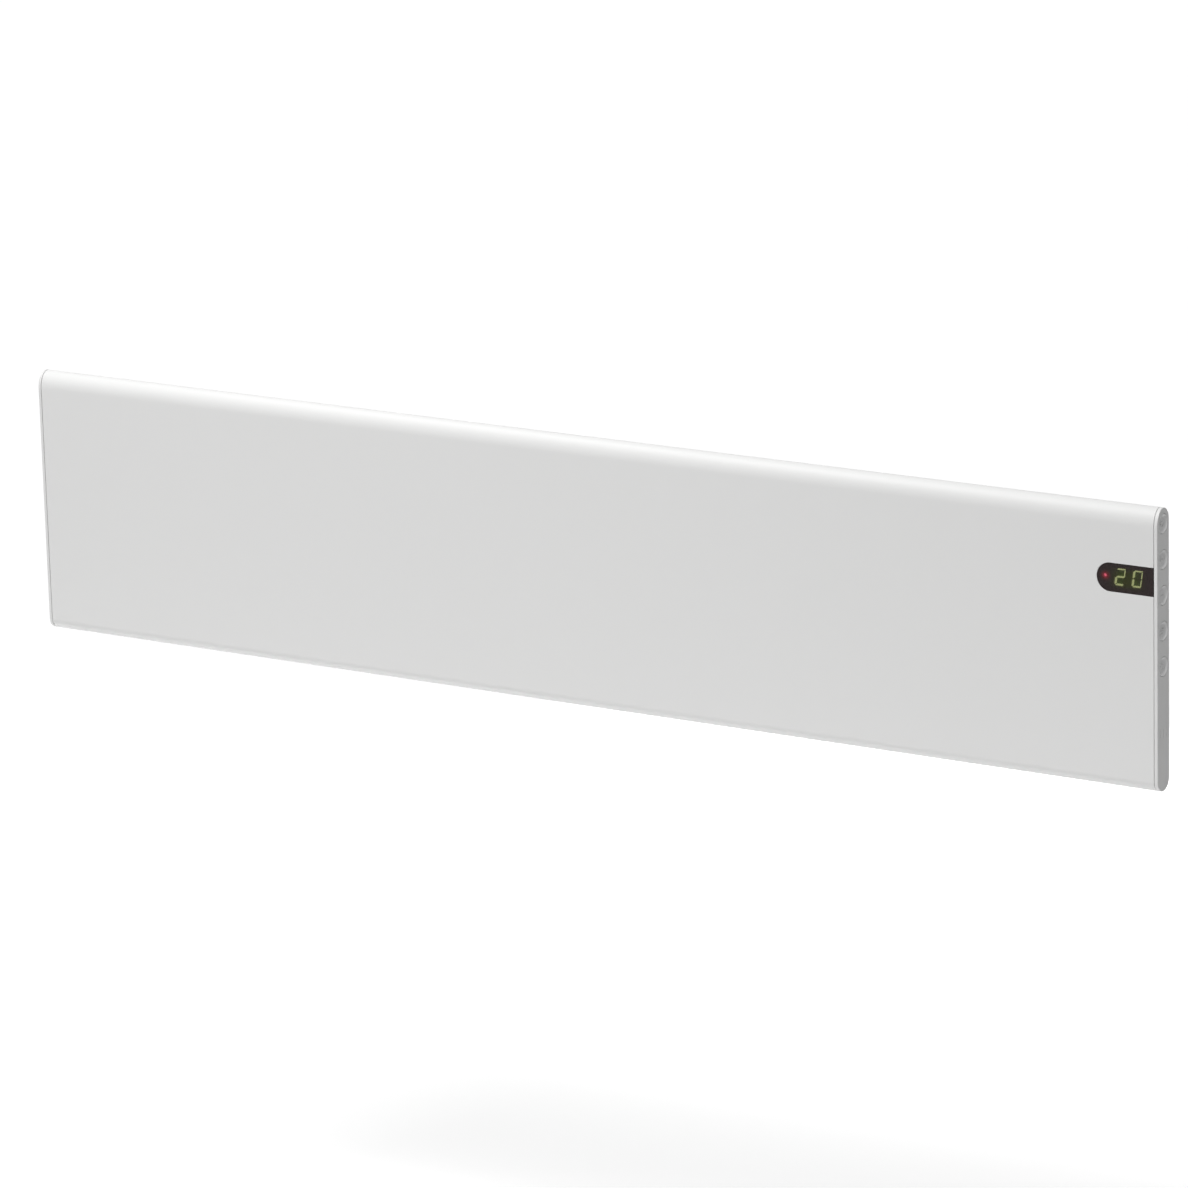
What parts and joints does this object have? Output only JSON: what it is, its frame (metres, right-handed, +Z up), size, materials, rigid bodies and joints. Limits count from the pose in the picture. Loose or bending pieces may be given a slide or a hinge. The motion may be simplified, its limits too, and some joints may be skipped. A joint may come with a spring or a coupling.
{
  "type": "wall panel convector heater",
  "caption": "Long low wall heater: thin white front panel with rounded edges and end caps, slotted rear casing, side buttons, small digital display, wall bracket.",
  "frame": {"origin": "middle of the wall bracket's four wall holes, on the wall plane", "axes": "+X to the end with the display and buttons, +Y into the wall, +Z up"},
  "size_m": [1.176, 0.084, 0.25],
  "materials": {
    "painted_white": "satin",
    "white_plastic": "satin",
    "button_plastic": "satin",
    "bracket_steel": "satin",
    "pad_rubber": "matt",
    "lever_plastic": "matt",
    "plated_steel": "satin",
    "galvanised_sheet": "satin",
    "element_aluminium": "satin",
    "rod_steel": "satin",
    "ceramic": "matt",
    "smoked_lens": "gloss",
    "black_plastic": "matt",
    "plunger_plastic": "matt",
    "circuit_board": "satin",
    "lit_bars": "gloss",
    "dark_bars": "gloss",
    "red_led": "gloss",
    "sensor_epoxy": "gloss",
    "capacitor_case": "matt",
    "terminal_plastic": "matt",
    "live_wire": "matt",
    "neutral_wire": "matt",
    "signal_wire": "matt"
  },
  "bodies": {
    "bracket": {"wall_bracket": "bracket_steel", "bracket_pads": "pad_rubber"},
    "heater": {"board_screws": "plated_steel", "board_standoffs": "plated_steel", "bulkhead": "galvanised_sheet", "cable_gland": "black_plastic", "cap_screws": "plated_steel", "casing_rivets": "plated_steel", "casing_screws": "plated_steel", "cutout_bracket": "galvanised_sheet", "cutout_lead": "live_wire", "digit_bars_off": "dark_bars", "digit_bars_on": "lit_bars", "display_board": "circuit_board", "display_carrier": "black_plastic", "display_window": "smoked_lens", "element_bushes": "ceramic", "filter_capacitor": "capacitor_case", "front_panel": "painted_white", "gland_nut": "black_plastic", "heat_shield": "galvanised_sheet", "heating_profile": "element_aluminium", "heating_rod": "rod_steel", "key_board": "circuit_board", "key_board_screws": "plated_steel", "key_switches": "black_plastic", "left_element_support": "galvanised_sheet", "left_end_cap": "white_plastic", "live_lead": "live_wire", "neutral_lead": "neutral_wire", "overheat_cutout": "black_plastic", "power_board": "circuit_board", "rear_casing": "painted_white", "relay": "black_plastic", "right_element_support": "galvanised_sheet", "right_end_cap": "white_plastic", "rod_terminals": "ceramic", "room_sensor": "sensor_epoxy", "shield_rivets": "plated_steel", "signal_cable": "signal_wire", "status_led": "red_led", "terminal_block": "terminal_plastic", "transformer": "black_plastic", "wire_grommet": "pad_rubber"},
    "left_lever": {"left_lock_lever": "lever_plastic", "left_lock_ring": "plated_steel"},
    "right_lever": {"right_lock_lever": "lever_plastic", "right_lock_ring": "plated_steel"},
    "power_key": {"power_button": "button_plastic", "power_plunger": "plunger_plastic"},
    "plus_key": {"plus_button": "button_plastic", "plus_plunger": "plunger_plastic"},
    "minus_key": {"minus_button": "button_plastic", "minus_plunger": "plunger_plastic"},
    "menu_key": {"menu_button": "button_plastic", "menu_plunger": "plunger_plastic"},
    "confirm_key": {"confirm_button": "button_plastic", "confirm_plunger": "plunger_plastic"}
  },
  "joints": [
    {"name": "heater_lift", "type": "slide", "parent": "bracket", "child": "heater", "axis": [0, 0, 1], "range_m": [0, 0.014]},
    {"name": "left_lever_turn", "type": "hinge", "parent": "bracket", "child": "left_lever", "pos_m": [-0.32, -0.027, -0.066], "axis": [0, 1, 0], "range_deg": [0, 90]},
    {"name": "right_lever_turn", "type": "hinge", "parent": "bracket", "child": "right_lever", "pos_m": [0.32, -0.027, -0.066], "axis": [0, -1, 0], "range_deg": [0, 90]},
    {"name": "power_press", "type": "slide", "parent": "heater", "child": "power_key", "axis": [-1, 0, 0], "range_m": [0, 0.001], "stiffness_N_per_m": 600, "springref_m": -0.001},
    {"name": "plus_press", "type": "slide", "parent": "heater", "child": "plus_key", "axis": [-1, 0, 0], "range_m": [0, 0.001], "stiffness_N_per_m": 600, "springref_m": -0.001},
    {"name": "minus_press", "type": "slide", "parent": "heater", "child": "minus_key", "axis": [-1, 0, 0], "range_m": [0, 0.001], "stiffness_N_per_m": 600, "springref_m": -0.001},
    {"name": "menu_press", "type": "slide", "parent": "heater", "child": "menu_key", "axis": [-1, 0, 0], "range_m": [0, 0.001], "stiffness_N_per_m": 600, "springref_m": -0.001},
    {"name": "confirm_press", "type": "slide", "parent": "heater", "child": "confirm_key", "axis": [-1, 0, 0], "range_m": [0, 0.001], "stiffness_N_per_m": 600, "springref_m": -0.001}
  ]
}
